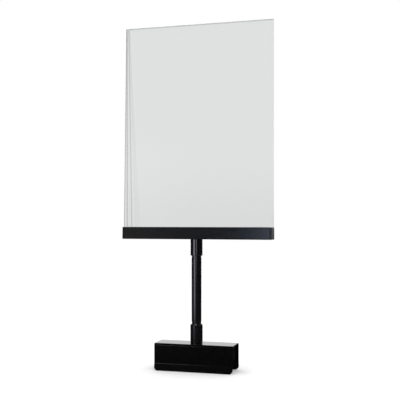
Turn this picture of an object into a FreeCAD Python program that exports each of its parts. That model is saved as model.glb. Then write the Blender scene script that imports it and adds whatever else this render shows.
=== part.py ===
import FreeCAD, Part
import math
import os

# Sign stand: a clear folded sleeve held in a channel bar, on a short round stem
# whose foot is a saddle that drops over a rail.
# Millimetres. X runs along the sign's width, -Y is the front, +Z is up.
# The origin is on the floor plane, under the stem's axis, at the saddle's lips.

# --- saddle: folded sheet, an inverted U with flared lips ---
SADDLE_LENGTH = 113.0
SADDLE_DEPTH = 36.0
SADDLE_HEIGHT = 38.0
SADDLE_SHEET = 1.5
SADDLE_BEND = 2.7        # outer radius along the two top edges
LIP_HEIGHT = 9.9
LIP_FLARE = 2.3
LIP_CORNER = 5.5         # rounded lower corners
CREASE_RADIUS = 3.0

# --- lining of the saddle ---
PAD_THICKNESS = 5.0
PAD_LENGTH = 104.0
PAD_SIDE_GAP = 1.2
LINER_THICKNESS = 0.5
LINER_LENGTH = 104.0
LINER_HEIGHT = 18.0
HEAD_RECESS_DIAMETER = 14.0

# --- stem ---
TUBE_DIAMETER = 13.8
TUBE_WALL = 1.5
NECK_DIAMETER = 13.2     # turned-down ends that enter the collars
NECK_SHOWING = 3.0
STEM_HEIGHT = 145.4      # saddle's top to the bar's underside
LOWER_COLLAR_DIAMETER = 17.3
LOWER_COLLAR_LENGTH = 27.2
LOWER_COLLAR_CHAMFER = 1.4
UPPER_COLLAR_DIAMETER = 16.8
UPPER_COLLAR_LENGTH = 22.9
COLLAR_FLOOR = 8.0
COLLAR_EDGE = 0.4
RUNNING_CLEARANCE = 0.05
PLUG_LENGTH = 14.0
TUBE_EDGE = 0.3

# --- screws and washers (M6 through the stem, M4 in the bar) ---
M6_RADIUS = 3.0
M6_HOLE_RADIUS = 3.25
M6_HEAD_RADIUS = 5.25
M6_HEAD_HEIGHT = 3.3
M6_SOCKET_ACROSS = 4.0
M6_SOCKET_DEPTH = 2.0
M6_REACH = 20.0          # shank below or above the clamped face
WASHER_RADIUS = 6.0
WASHER_THICKNESS = 1.0
M4_RADIUS = 2.0
M4_HOLE_RADIUS = 2.2
M4_HEAD_RADIUS = 3.9
M4_HEAD_HEIGHT = 1.9
M4_LENGTH = 10.0
M4_SPACING = 140.0
M4_SOCKET_ACROSS = 2.5
M4_SOCKET_DEPTH = 1.2

# --- channel bar ---
BAR_LENGTH = 216.6       # over the end caps
BAR_HEIGHT = 17.0
BAR_DEPTH_BOTTOM = 21.6
BAR_DEPTH_TOP = 20.4
BAR_OFFSET = 2.0         # the bar's middle lies this far behind the stem's axis
BAR_FLOOR = 2.4
FRONT_WALL_FACE = -6.9   # inner face of the front wall
BACK_WALL_FACE = 11.0    # inner face of the back wall
BAR_BOTTOM_ROUND = 0.9
BAR_TOP_ROUND = 0.4
CAP_THICKNESS = 2.5
CAP_ROUND = 0.8
CAP_PLUG_LENGTH = 6.0
CAP_PLUG_HEIGHT = 4.2
FIT_GAP = 0.2

# --- inside the bar ---
SPACER_LENGTH = 198.0
SPACER_FRONT = -0.5
SPACER_BACK = 8.5
GRIP_INNER = -3.4
INSERT_BELOW_RIM = 0.5   # spacer and grip end this far under the bar's rim

# --- clear folded sleeve ---
SLEEVE_WIDTH = 216.0
SLEEVE_SHEET = 1.8
SLEEVE_FOLD = 2.0        # outer radius of the fold along the top
SLEEVE_SHOWING = 287.0   # above the bar
TONGUE_DEPTH = 9.5
TONGUE_WIDTH = 205.0
BACK_LEG_FACE = 10.7     # outer face of the upright back leg
FRONT_LEG_FACE = -2.7    # outer face of the leaning front leg, at the bar's rim

# --- levels and lengths that follow ---
WEB_UNDERSIDE = SADDLE_HEIGHT - SADDLE_SHEET
LOWER_COLLAR_TOP = SADDLE_HEIGHT + LOWER_COLLAR_LENGTH
BAR_BOTTOM = SADDLE_HEIGHT + STEM_HEIGHT
BAR_TOP = BAR_BOTTOM + BAR_HEIGHT
FLOOR_TOP = BAR_BOTTOM + BAR_FLOOR
UPPER_COLLAR_BOTTOM = BAR_BOTTOM - UPPER_COLLAR_LENGTH
TUBE_BOTTOM = SADDLE_HEIGHT + COLLAR_FLOOR
TUBE_TOP = BAR_BOTTOM - COLLAR_FLOOR - WASHER_THICKNESS
CHANNEL_LENGTH = BAR_LENGTH - 2 * CAP_THICKNESS
SLEEVE_TOP = BAR_TOP + SLEEVE_SHOWING
UP = FreeCAD.Vector(0, 0, 1)
DOWN = FreeCAD.Vector(0, 0, -1)


def at(x, y, z):
    return FreeCAD.Vector(x, y, z)


def cylinder(radius, bottom, top, x=0.0, y=0.0):
    return Part.makeCylinder(radius, top - bottom, at(x, y, bottom))


def block(x_range, y_range, z_range):
    low = at(x_range[0], y_range[0], z_range[0])
    sizes = [b - a for a, b in (x_range, y_range, z_range)]
    return Part.makeBox(*sizes, low)


def along_x(outline, length):
    """A prism along X, centred on X = 0, from (y, z) points."""
    corners = [at(-length / 2, y, z) for y, z in outline]
    wire = Part.makePolygon(corners + corners[:1])
    return Part.Face(wire).extrude(at(length, 0, 0))


def edges_where(shape, test):
    """Edges whose middle point and direction pass the test."""
    found = []
    for edge in shape.Edges:
        first, last = edge.FirstParameter, edge.LastParameter
        middle = edge.valueAt((first + last) / 2)
        run = edge.valueAt(last) - edge.valueAt(first)
        if test(middle, run):
            found.append(edge)
    return found


def runs_along_x(run):
    return abs(run.x) > 1.0 and abs(run.y) < 1e-6 and abs(run.z) < 1e-6


def close(a, b):
    return abs(a - b) < 1e-3


def hexagon(across_flats, bottom, height, x=0.0, y=0.0):
    """A hexagonal prism, for the sockets of the screws."""
    radius = across_flats / math.sqrt(3)
    turns = [math.radians(60 * i) for i in range(6)]
    corners = [at(x + radius * math.cos(a), y + radius * math.sin(a), bottom) for a in turns]
    wire = Part.makePolygon(corners + corners[:1])
    return Part.Face(wire).extrude(at(0, 0, height))


def flare_outline():
    """Outer and inner (y, z) points of the saddle's section, closed."""
    outer_half = SADDLE_DEPTH / 2
    inner_half = outer_half - SADDLE_SHEET
    slope = math.atan2(LIP_FLARE, LIP_HEIGHT)
    # The lip keeps the sheet's thickness, so its inner face meets the leg a little off the crease.
    inner_crease = LIP_HEIGHT + SADDLE_SHEET * math.tan(slope / 2)
    lip_cut = SADDLE_SHEET / math.cos(slope)
    right = [
        (outer_half + LIP_FLARE, 0.0),
        (outer_half, LIP_HEIGHT),
        (outer_half, SADDLE_HEIGHT),
    ]
    right_inner = [
        (inner_half, WEB_UNDERSIDE),
        (inner_half, inner_crease),
        (outer_half + LIP_FLARE - lip_cut, 0.0),
    ]
    mirrored = [(-y, z) for y, z in reversed(right)]
    mirrored_inner = [(-y, z) for y, z in reversed(right_inner)]
    return right + mirrored + mirrored_inner + right_inner


def saddle():
    body = along_x(flare_outline(), SADDLE_LENGTH)
    half = SADDLE_LENGTH / 2
    lip_ends = edges_where(
        body, lambda m, r: close(abs(m.x), half) and m.z < 0.01 and abs(r.x) < 1e-6)
    body = body.makeFillet(LIP_CORNER, lip_ends)
    inner_bend = SADDLE_BEND - SADDLE_SHEET
    top_outer = edges_where(body, lambda m, r: runs_along_x(r) and close(m.z, SADDLE_HEIGHT))
    body = body.makeFillet(SADDLE_BEND, top_outer)
    top_inner = edges_where(
        body, lambda m, r: runs_along_x(r) and close(m.z, WEB_UNDERSIDE)
        and close(abs(m.y), SADDLE_DEPTH / 2 - SADDLE_SHEET))
    body = body.makeFillet(inner_bend, top_inner)
    creases = edges_where(
        body, lambda m, r: runs_along_x(r) and LIP_HEIGHT - 0.5 < m.z < LIP_HEIGHT + 0.5)
    body = body.makeFillet(CREASE_RADIUS, creases)
    return body.cut(cylinder(M6_HOLE_RADIUS, WEB_UNDERSIDE - 1, SADDLE_HEIGHT + 1))


def seat_pad():
    half_width = SADDLE_DEPTH / 2 - SADDLE_SHEET - PAD_SIDE_GAP
    half_length = PAD_LENGTH / 2
    pad = block((-half_length, half_length), (-half_width, half_width),
                (WEB_UNDERSIDE - PAD_THICKNESS, WEB_UNDERSIDE))
    recess = cylinder(HEAD_RECESS_DIAMETER / 2, WEB_UNDERSIDE - PAD_THICKNESS - 1, WEB_UNDERSIDE + 1)
    return pad.cut(recess)


def leg_liner(side):
    """Protective strip on a leg's inner face; side is -1 for the front leg, +1 for the back one."""
    outer = side * (SADDLE_DEPTH / 2 - SADDLE_SHEET)
    inner = outer - side * LINER_THICKNESS
    top = WEB_UNDERSIDE - PAD_THICKNESS
    return block((-LINER_LENGTH / 2, LINER_LENGTH / 2), sorted((outer, inner)),
                 (top - LINER_HEIGHT, top))


def m6_screw(face, direction):
    """Low round-headed screw whose head bears on the level `face`; direction is the shank's way."""
    back = face - direction * M6_HEAD_HEIGHT
    head = Part.makeCylinder(M6_HEAD_RADIUS, M6_HEAD_HEIGHT, at(0, 0, back), UP * direction)
    crown = edges_where(head, lambda m, r: close(m.z, back))
    head = head.makeFillet(M6_HEAD_HEIGHT * 0.6, crown)
    shank = Part.makeCylinder(M6_RADIUS, M6_REACH, at(0, 0, face), UP * direction)
    tip = edges_where(shank, lambda m, r: close(m.z, face + direction * M6_REACH))
    shank = shank.makeChamfer(0.6, tip)
    socket_bottom = back if direction > 0 else back - M6_SOCKET_DEPTH
    socket = hexagon(M6_SOCKET_ACROSS, socket_bottom, M6_SOCKET_DEPTH)
    return head.fuse(shank).cut(socket)


def ring(outer_radius, inner_radius, bottom, top):
    return cylinder(outer_radius, bottom, top).cut(cylinder(inner_radius, bottom - 1, top + 1))


def lower_collar():
    body = cylinder(LOWER_COLLAR_DIAMETER / 2, SADDLE_HEIGHT, LOWER_COLLAR_TOP)
    rim = edges_where(body, lambda m, r: close(m.z, LOWER_COLLAR_TOP))
    body = body.makeChamfer(LOWER_COLLAR_CHAMFER, rim)
    bore = cylinder(NECK_DIAMETER / 2 + RUNNING_CLEARANCE, TUBE_BOTTOM, LOWER_COLLAR_TOP + 1)
    hole = cylinder(M6_HOLE_RADIUS, SADDLE_HEIGHT - 1, TUBE_BOTTOM + 1)
    return body.cut(bore).cut(hole)


def upper_collar():
    body = cylinder(UPPER_COLLAR_DIAMETER / 2, UPPER_COLLAR_BOTTOM, BAR_BOTTOM)
    rim = edges_where(body, lambda m, r: close(m.z, UPPER_COLLAR_BOTTOM))
    body = body.makeChamfer(COLLAR_EDGE, rim)
    bore_top = BAR_BOTTOM - COLLAR_FLOOR
    bore = cylinder(NECK_DIAMETER / 2 + RUNNING_CLEARANCE, UPPER_COLLAR_BOTTOM - 1, bore_top)
    hole = cylinder(M6_HOLE_RADIUS, bore_top - 1, BAR_BOTTOM + 1)
    return body.cut(bore).cut(hole)


def stem_tube():
    neck_radius = NECK_DIAMETER / 2
    body_bottom = LOWER_COLLAR_TOP + NECK_SHOWING
    body_top = UPPER_COLLAR_BOTTOM - NECK_SHOWING
    middle = cylinder(TUBE_DIAMETER / 2, body_bottom, body_top)
    middle = middle.makeChamfer(TUBE_EDGE, edges_where(
        middle, lambda m, r: close(m.z, body_bottom) or close(m.z, body_top)))
    neck = cylinder(neck_radius, TUBE_BOTTOM, TUBE_TOP)
    bore = cylinder(TUBE_DIAMETER / 2 - TUBE_WALL, TUBE_BOTTOM - 1, TUBE_TOP + 1)
    return middle.fuse(neck).removeSplitter().cut(bore)


def tube_plug(bottom):
    """Threaded plug pressed into one end of the tube."""
    radius = TUBE_DIAMETER / 2 - TUBE_WALL - RUNNING_CLEARANCE
    return ring(radius, M6_RADIUS + RUNNING_CLEARANCE, bottom, bottom + PLUG_LENGTH)


def bar_section(inset=0.0):
    """(y, z) corners of the bar's outer section, slightly wider at its foot."""
    low = BAR_DEPTH_BOTTOM / 2 - inset
    high = BAR_DEPTH_TOP / 2 - inset
    return [
        (BAR_OFFSET - low, BAR_BOTTOM + inset),
        (BAR_OFFSET + low, BAR_BOTTOM + inset),
        (BAR_OFFSET + high, BAR_TOP - inset),
        (BAR_OFFSET - high, BAR_TOP - inset),
    ]


def spacer_screw_places():
    middle = (SPACER_FRONT + SPACER_BACK) / 2
    return [(-M4_SPACING / 2, middle), (M4_SPACING / 2, middle)]


def bar_channel():
    body = along_x(bar_section(), CHANNEL_LENGTH)
    body = body.makeFillet(BAR_BOTTOM_ROUND, edges_where(
        body, lambda m, r: runs_along_x(r) and close(m.z, BAR_BOTTOM)))
    body = body.makeFillet(BAR_TOP_ROUND, edges_where(
        body, lambda m, r: runs_along_x(r) and close(m.z, BAR_TOP)))
    reach = CHANNEL_LENGTH / 2 + 1
    slot = block((-reach, reach), (FRONT_WALL_FACE, BACK_WALL_FACE), (FLOOR_TOP, BAR_TOP + 1))
    body = body.cut(slot)
    body = body.cut(cylinder(M6_HOLE_RADIUS, BAR_BOTTOM - 1, FLOOR_TOP + 1))
    for x, y in spacer_screw_places():
        body = body.cut(cylinder(M4_HOLE_RADIUS, BAR_BOTTOM - 1, FLOOR_TOP + 1, x, y))
        seat = Part.makeCone(M4_HEAD_RADIUS + FIT_GAP, M4_HOLE_RADIUS,
                             M4_HEAD_HEIGHT + FIT_GAP, at(x, y, BAR_BOTTOM))
        body = body.cut(seat)
    return body


def end_cap(side):
    """Moulded cap with a plug that enters the channel; side is -1 at the left, +1 at the right."""
    plate = along_x(bar_section(), CAP_THICKNESS)
    plate = plate.translated(at(side * (BAR_LENGTH - CAP_THICKNESS) / 2, 0, 0))
    outer = side * BAR_LENGTH / 2
    plate = plate.makeFillet(CAP_ROUND, edges_where(
        plate, lambda m, r: close(m.x, outer) or (runs_along_x(r) and close(m.z, BAR_BOTTOM))))
    inner = side * CHANNEL_LENGTH / 2
    plug = block(sorted((inner - side * CAP_PLUG_LENGTH, inner)),
                 (FRONT_WALL_FACE + FIT_GAP, BACK_WALL_FACE - FIT_GAP),
                 (FLOOR_TOP + FIT_GAP, FLOOR_TOP + FIT_GAP + CAP_PLUG_HEIGHT))
    return plate.fuse(plug).removeSplitter()


def slot_spacer():
    """Block between the two legs of the sleeve, hollowed over the swivel screw's head."""
    half = SPACER_LENGTH / 2
    body = block((-half, half), (SPACER_FRONT, SPACER_BACK), (FLOOR_TOP, BAR_TOP - INSERT_BELOW_RIM))
    head_room = WASHER_THICKNESS + M6_HEAD_HEIGHT + 0.5
    body = body.cut(cylinder(HEAD_RECESS_DIAMETER / 2, FLOOR_TOP - 1, FLOOR_TOP + head_room))
    for x, y in spacer_screw_places():
        reach = BAR_BOTTOM + M4_LENGTH + 1
        body = body.cut(cylinder(M4_RADIUS + RUNNING_CLEARANCE, FLOOR_TOP - 1, reach, x, y))
    return body


def front_grip():
    """Strip of firm foam rubber between the front wall and the front leg."""
    half = SPACER_LENGTH / 2
    return block((-half, half), (FRONT_WALL_FACE, GRIP_INNER),
                 (BAR_TOP - TONGUE_DEPTH, BAR_TOP - INSERT_BELOW_RIM))


def spacer_screws():
    screws = []
    for x, y in spacer_screw_places():
        head = Part.makeCone(M4_HEAD_RADIUS, M4_RADIUS, M4_HEAD_HEIGHT, at(x, y, BAR_BOTTOM))
        shank = cylinder(M4_RADIUS, BAR_BOTTOM, BAR_BOTTOM + M4_LENGTH, x, y)
        socket = hexagon(M4_SOCKET_ACROSS, BAR_BOTTOM, M4_SOCKET_DEPTH, x, y)
        screws.append(head.fuse(shank).cut(socket))
    return Part.makeCompound(screws)


def front_leg_lean():
    """Angle by which the front leg leans back, so that its face is tangent to the fold."""
    across = BACK_LEG_FACE - SLEEVE_FOLD - FRONT_LEG_FACE
    up = SLEEVE_TOP - SLEEVE_FOLD - BAR_TOP
    return math.atan2(across, up) - math.asin(SLEEVE_FOLD / math.hypot(across, up))


def clear_sleeve():
    """One sheet folded in a hairpin along its top: an upright back leg and a leaning front leg."""
    lean = front_leg_lean()
    fold_y = BACK_LEG_FACE - SLEEVE_FOLD
    fold_z = SLEEVE_TOP - SLEEVE_FOLD
    foot = BAR_TOP - TONGUE_DEPTH
    left = -SLEEVE_WIDTH / 2
    inner_fold = SLEEVE_FOLD - SLEEVE_SHEET

    def on_fold(radius, turn):
        return at(left, fold_y + radius * math.cos(turn), fold_z + radius * math.sin(turn))

    def on_front_leg(radius, level):
        start = on_fold(radius, math.pi - lean)
        return at(left, start.y - (start.z - level) * math.tan(lean), level)

    top = math.pi / 2
    ends = [
        at(left, BACK_LEG_FACE, foot),
        on_fold(SLEEVE_FOLD, 0.0),
        on_fold(SLEEVE_FOLD, math.pi - lean),
        on_front_leg(SLEEVE_FOLD, foot),
        on_front_leg(inner_fold, foot),
        on_fold(inner_fold, math.pi - lean),
        on_fold(inner_fold, 0.0),
        at(left, BACK_LEG_FACE - SLEEVE_SHEET, foot),
    ]
    edges = [
        Part.LineSegment(ends[0], ends[1]).toShape(),
        Part.Arc(ends[1], on_fold(SLEEVE_FOLD, top), ends[2]).toShape(),
        Part.LineSegment(ends[2], ends[3]).toShape(),
        Part.LineSegment(ends[3], ends[4]).toShape(),
        Part.LineSegment(ends[4], ends[5]).toShape(),
        Part.Arc(ends[5], on_fold(inner_fold, top), ends[6]).toShape(),
        Part.LineSegment(ends[6], ends[7]).toShape(),
        Part.LineSegment(ends[7], ends[0]).toShape(),
    ]
    body = Part.Face(Part.Wire(edges)).extrude(at(SLEEVE_WIDTH, 0, 0))
    for side in (-1, 1):
        x_range = sorted((side * TONGUE_WIDTH / 2, side * (SLEEVE_WIDTH / 2 + 1)))
        body = body.cut(block(x_range, (-20, 20), (foot - 1, BAR_TOP)))
    return body


PARTS = {
    "saddle": saddle(),
    "seat_pad": seat_pad(),
    "liner_front": leg_liner(-1),
    "liner_back": leg_liner(1),
    "saddle_screw": m6_screw(WEB_UNDERSIDE - WASHER_THICKNESS, 1),
    "saddle_washer": ring(WASHER_RADIUS, M6_HOLE_RADIUS, WEB_UNDERSIDE - WASHER_THICKNESS, WEB_UNDERSIDE),
    "lower_collar": lower_collar(),
    "lower_plug": tube_plug(TUBE_BOTTOM),
    "stem_tube": stem_tube(),
    "upper_plug": tube_plug(TUBE_TOP - PLUG_LENGTH),
    "swivel_washer": ring(NECK_DIAMETER / 2 - FIT_GAP, M6_HOLE_RADIUS, TUBE_TOP, TUBE_TOP + WASHER_THICKNESS),
    "head_screw": m6_screw(FLOOR_TOP + WASHER_THICKNESS, -1),
    "head_washer": ring(WASHER_RADIUS, M6_HOLE_RADIUS, FLOOR_TOP, FLOOR_TOP + WASHER_THICKNESS),
    "upper_collar": upper_collar(),
    "bar_channel": bar_channel(),
    "end_cap_left": end_cap(-1),
    "end_cap_right": end_cap(1),
    "front_grip": front_grip(),
    "slot_spacer": slot_spacer(),
    "spacer_screws": spacer_screws(),
    "clear_sleeve": clear_sleeve(),
}

os.makedirs("parts", exist_ok=True)
for name, shape in PARTS.items():
    shape.exportStep(f"parts/{name}.step")
    box = shape.BoundBox
    print(f"{name:14s} solids {len(shape.Solids)} valid {shape.isValid()} "
          f"{box.XLength:7.2f} x {box.YLength:6.2f} x {box.ZLength:7.2f} mm")
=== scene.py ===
# %% [markdown]
# # A sign stand that sits on a rail
# The object is a clear folded sleeve for a sheet of paper. It stands in a black channel bar, the bar turns
# on a short round stem, and the stem is bolted to a saddle that drops over a rail.
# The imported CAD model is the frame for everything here: it says where each part is. This lesson makes each
# part again as a finer mesh, gives it a finish, and tells it which body of the frame it moves with.

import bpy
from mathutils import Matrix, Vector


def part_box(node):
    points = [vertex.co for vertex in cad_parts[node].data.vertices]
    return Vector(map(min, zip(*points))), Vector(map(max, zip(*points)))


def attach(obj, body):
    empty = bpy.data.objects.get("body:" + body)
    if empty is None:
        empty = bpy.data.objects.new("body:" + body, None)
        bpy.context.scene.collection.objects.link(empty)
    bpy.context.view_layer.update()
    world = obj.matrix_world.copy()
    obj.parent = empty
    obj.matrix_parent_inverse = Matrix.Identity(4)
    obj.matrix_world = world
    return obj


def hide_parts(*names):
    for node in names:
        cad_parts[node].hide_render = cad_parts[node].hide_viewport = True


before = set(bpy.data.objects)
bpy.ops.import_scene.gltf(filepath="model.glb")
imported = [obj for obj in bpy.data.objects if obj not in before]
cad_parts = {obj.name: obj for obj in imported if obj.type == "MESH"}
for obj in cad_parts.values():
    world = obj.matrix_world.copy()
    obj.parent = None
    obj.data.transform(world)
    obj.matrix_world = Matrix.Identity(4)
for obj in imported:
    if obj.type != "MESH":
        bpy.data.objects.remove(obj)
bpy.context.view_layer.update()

# %% [markdown]
# Small hardware is easier to think about in millimetres, and Blender works in metres. So every helper takes
# millimetres and turns them into metres at the very end, when the mesh is made.

# %% Tools and units
import math

import bmesh
import bpy
from mathutils import Vector

MM = 0.001


def span(node):
    """Lowest and highest corner of a CAD part, in millimetres."""
    low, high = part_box(node)
    return low / MM, high / MM


# %% [markdown]
# ## Mesh helpers
# Four shapes cover this whole object: a loft through a row of outlines, a turned shape, a folded sheet and
# a hole cut by a tool. Each helper lists points and faces itself, so the mesh has no waste and its edges are
# where a maker would put them.

# %% A mesh object from points and faces
def new_piece(name, points, faces):
    mesh = bpy.data.meshes.new(name)
    mesh.from_pydata([[c * MM for c in p] for p in points], [], faces)
    shape = bmesh.new()
    shape.from_mesh(mesh)
    loose = [v for v in shape.verts if not v.link_faces]
    bmesh.ops.delete(shape, geom=loose, context="VERTS")
    bmesh.ops.recalc_face_normals(shape, faces=shape.faces)
    shape.to_mesh(mesh)
    shape.free()
    piece = bpy.data.objects.new(name, mesh)
    bpy.context.scene.collection.objects.link(piece)
    return piece


# %% [markdown]
# No real edge is a knife edge: a bend, a moulding or a turned part has a small radius, and that radius is
# what catches the light. `rounded` puts an arc on each corner of an outline.

# %% Outlines with rounded corners
def rounded(corners, radii, steps=6, closed=True):
    """An outline whose corners are arcs. A radius of 0 keeps the corner."""
    outline = []
    count = len(corners)
    for i, radius in enumerate(radii):
        here = Vector(corners[i])
        at_an_end = not closed and i in (0, count - 1)
        if radius <= 0 or at_an_end:
            outline.append(tuple(here))
            continue
        back = (Vector(corners[i - 1]) - here).normalized()
        on = (Vector(corners[(i + 1) % count]) - here).normalized()
        half = back.angle(on) / 2
        centre = here + (back + on).normalized() * radius / math.sin(half)
        start = here + back * radius / math.tan(half) - centre
        end = here + on * radius / math.tan(half) - centre
        turn = math.pi - 2 * half
        for k in range(steps + 1):
            t = k / steps
            arm = start * math.sin((1 - t) * turn) + end * math.sin(t * turn)
            outline.append(tuple(centre + arm / math.sin(turn)))
    return outline


def rectangle(low, high, radius, steps=5):
    """A rectangle with rounded corners, from its lowest to its highest corner."""
    corners = [(low[0], low[1]), (high[0], low[1]), (high[0], high[1]), (low[0], high[1])]
    return rounded(corners, [radius] * 4, steps)


# %% A loft through a row of outlines
def loft(name, rings):
    """Joins closed outlines with the same number of points, and closes both ends."""
    size = len(rings[0])
    points = [p for ring in rings for p in ring]
    faces = [list(range(size)), list(range(len(points) - size, len(points)))]
    for i in range(len(rings) - 1):
        for j in range(size):
            a, b = i * size + j, i * size + (j + 1) % size
            faces.append([a, b, b + size, a + size])
    return new_piece(name, points, faces)


def along_x(outline, x):
    return [(x, y, z) for y, z in outline]


def upright(outline, z):
    return [(x, y, z) for x, y in outline]


# %% A turned shape
def lathe(name, profile, turns=96, centre=(0.0, 0.0), radius_at=None):
    """Turns a closed (radius, height) profile round a vertical axis."""
    points, rings = [], []
    for radius, height in profile:
        ring = []
        for k in range(turns if radius > 1e-6 else 1):
            angle = 2 * math.pi * k / turns
            r = radius_at(radius, height, angle) if radius_at else radius
            ring.append(len(points))
            points.append((centre[0] + r * math.cos(angle), centre[1] + r * math.sin(angle), height))
        rings.append(ring)
    faces = []
    for i, ring in enumerate(rings):
        following = rings[(i + 1) % len(rings)]
        if len(ring) == 1 and len(following) == 1:
            continue
        for k in range(turns):
            on = (k + 1) % turns
            if len(ring) == 1:
                faces.append([ring[0], following[k], following[on]])
            elif len(following) == 1:
                faces.append([ring[k], following[0], ring[on]])
            else:
                faces.append([ring[k], following[k], following[on], ring[on]])
    return new_piece(name, points, faces)


# %% A folded sheet
def folded_sheet(name, outer, inner, filled=lambda row, column: True):
    """Two grids of points, the sheet's outer and inner face, joined round their edge."""
    rows, columns = len(outer), len(outer[0])
    points = [p for row in outer for p in row] + [p for row in inner for p in row]
    under = rows * columns

    def holds(i, j):
        return 0 <= i < rows - 1 and 0 <= j < columns - 1 and filled(i, j)

    faces = []
    for i in range(rows - 1):
        for j in range(columns - 1):
            if not filled(i, j):
                continue
            a = i * columns + j
            ring = [a, a + 1, a + 1 + columns, a + columns]
            faces.append(ring)
            faces.append([k + under for k in reversed(ring)])
            beside = [(i - 1, j), (i, j + 1), (i + 1, j), (i, j - 1)]
            for side, (m, n) in enumerate(beside):
                if not holds(m, n):
                    p, q = ring[side], ring[(side + 1) % 4]
                    faces.append([q, p, p + under, q + under])
    return new_piece(name, points, faces)


# %% [markdown]
# Holes and sockets are cut the way a workshop does it, with a tool: a Boolean modifier takes one shape from
# another. The result is stored in the mesh, and the tool is thrown away.

# %% Cutting and joining with tools
def settle(piece):
    """Stores what the modifiers make in the piece's own mesh."""
    bpy.context.view_layer.update()
    view = bpy.context.evaluated_depsgraph_get()
    made = bpy.data.meshes.new_from_object(piece.evaluated_get(view))
    piece.modifiers.clear()
    piece.data = made


def work(piece, tools, operation="DIFFERENCE"):
    for tool in tools:
        step = piece.modifiers.new("tool", "BOOLEAN")
        step.operation = operation
        step.solver = "EXACT"
        step.object = tool
    settle(piece)
    for tool in tools:
        bpy.data.objects.remove(tool)


def drill(radius, bottom, top, x=0.0, y=0.0, top_radius=None):
    """A round tool, or a cone with its own radius at the top."""
    wide = radius if top_radius is None else top_radius
    return lathe("tool", [(0, bottom), (radius, bottom), (wide, top), (0, top)], 64, (x, y))


def hex_key(across, bottom, top, x=0.0, y=0.0):
    reach = across / math.sqrt(3)
    corners = [(x + reach * math.cos(math.radians(60 * k)), y + reach * math.sin(math.radians(60 * k)))
               for k in range(6)]
    return loft("tool", [upright(corners, bottom), upright(corners, top)])


# %% [markdown]
# Two modifiers finish each mesh. Bevel rounds the edges that are still sharp, and Weighted Normal makes the
# big faces shade truly flat, with the small rounds taking up all the turn. Without it, a long face next
# to a small round looks pillowy.

# %% Soft edges and clean shading
SHARP_TURN = math.radians(38)


def ease(piece, edge=0.0, steps=3):
    if edge:
        bevel = piece.modifiers.new("eased edges", "BEVEL")
        bevel.width = edge * MM
        bevel.segments = steps
        bevel.limit_method = "ANGLE"
        bevel.angle_limit = SHARP_TURN
    for face in piece.data.polygons:
        face.use_smooth = True
    shading = piece.modifiers.new("flat faces", "WEIGHTED_NORMAL")
    shading.weight = 100
    shading.keep_sharp = True


def fit(piece, body, node, slot, *materials):
    """Gives the piece its finish, ties it to a body and lets it stand for a CAD part."""
    for material in materials:
        piece.data.materials.append(material)
    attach(piece, body)
    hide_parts(node)
    print(f"{piece.name}: {len(piece.data.polygons)} faces, rides on {body}")


# %% [markdown]
# ## Finishes
# Every finish is one Principled shader. Values that are the same all over are set on the shader itself.
# What changes from place to place, such as the orange peel in a coat of paint, comes from noise textures in
# object coordinates. These are metres, so a scale of 1000 gives a grain of about a millimetre.

# %% Building blocks for the finishes
def finish(name, colour, **constants):
    material = bpy.data.materials.new(name)
    material.use_nodes = True
    shader = material.node_tree.nodes["Principled BSDF"]
    shader.inputs["Base Color"].default_value = (*colour, 1.0)
    for socket, value in constants.items():
        shader.inputs[socket.replace("_", " ")].default_value = value
    return material


def shader_of(material):
    return material.node_tree.nodes["Principled BSDF"]


def link(material, source, target):
    material.node_tree.links.new(source, target)


def tree_node(tree, kind, values, settings):
    """A node in a tree. Values are numbers or sockets for its inputs, in order."""
    node = tree.nodes.new("ShaderNode" + kind)
    for key, value in settings.items():
        setattr(node, key, value)
    for socket, value in zip(node.inputs, values):
        if isinstance(value, bpy.types.NodeSocket):
            tree.links.new(value, socket)
        else:
            socket.default_value = value
    return node.outputs[0]


def grain(material, scale, stretch=(1, 1, 1), detail=3.0, kind="Noise"):
    """A texture's value over the piece, from object coordinates in metres."""
    nodes = material.node_tree.nodes
    place = nodes.new("ShaderNodeTexCoord")
    size = nodes.new("ShaderNodeMapping")
    size.inputs["Scale"].default_value = stretch
    texture = nodes.new("ShaderNodeTex" + kind)
    texture.inputs["Scale"].default_value = scale
    if kind == "Noise":
        texture.inputs["Detail"].default_value = detail
    link(material, place.outputs["Object"], size.inputs["Vector"])
    link(material, size.outputs["Vector"], texture.inputs["Vector"])
    return texture.outputs["Distance" if kind == "Voronoi" else "Fac"]


def between(material, value, low, high, start=0.3, end=0.7):
    """Stretches a texture's value so that it runs from low to high."""
    reach = material.node_tree.nodes.new("ShaderNodeMapRange")
    reach.inputs["From Min"].default_value = start
    reach.inputs["From Max"].default_value = end
    reach.inputs["To Min"].default_value = low
    reach.inputs["To Max"].default_value = high
    link(material, value, reach.inputs["Value"])
    return reach.outputs["Result"]


def tones(material, value, dark, light, start=0.3, end=0.7):
    """Colours the piece from dark to light by a texture's value."""
    ramp = material.node_tree.nodes.new("ShaderNodeValToRGB")
    ramp.color_ramp.elements[0].position = start
    ramp.color_ramp.elements[0].color = (*dark, 1.0)
    ramp.color_ramp.elements[1].position = end
    ramp.color_ramp.elements[1].color = (*light, 1.0)
    link(material, value, ramp.inputs["Fac"])
    link(material, ramp.outputs["Color"], shader_of(material).inputs["Base Color"])


def roughness(material, value, low, high):
    link(material, between(material, value, low, high), shader_of(material).inputs["Roughness"])


def relief(material, value, depth, strength=1.0):
    """Raises the surface by a texture's value, depth in millimetres. Reliefs add up."""
    bump = material.node_tree.nodes.new("ShaderNodeBump")
    bump.inputs["Distance"].default_value = depth * MM
    bump.inputs["Strength"].default_value = strength
    link(material, value, bump.inputs["Height"])
    normal = shader_of(material).inputs["Normal"]
    if normal.is_linked:
        link(material, normal.links[0].from_socket, bump.inputs["Normal"])
    link(material, bump.outputs["Normal"], normal)


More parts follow.
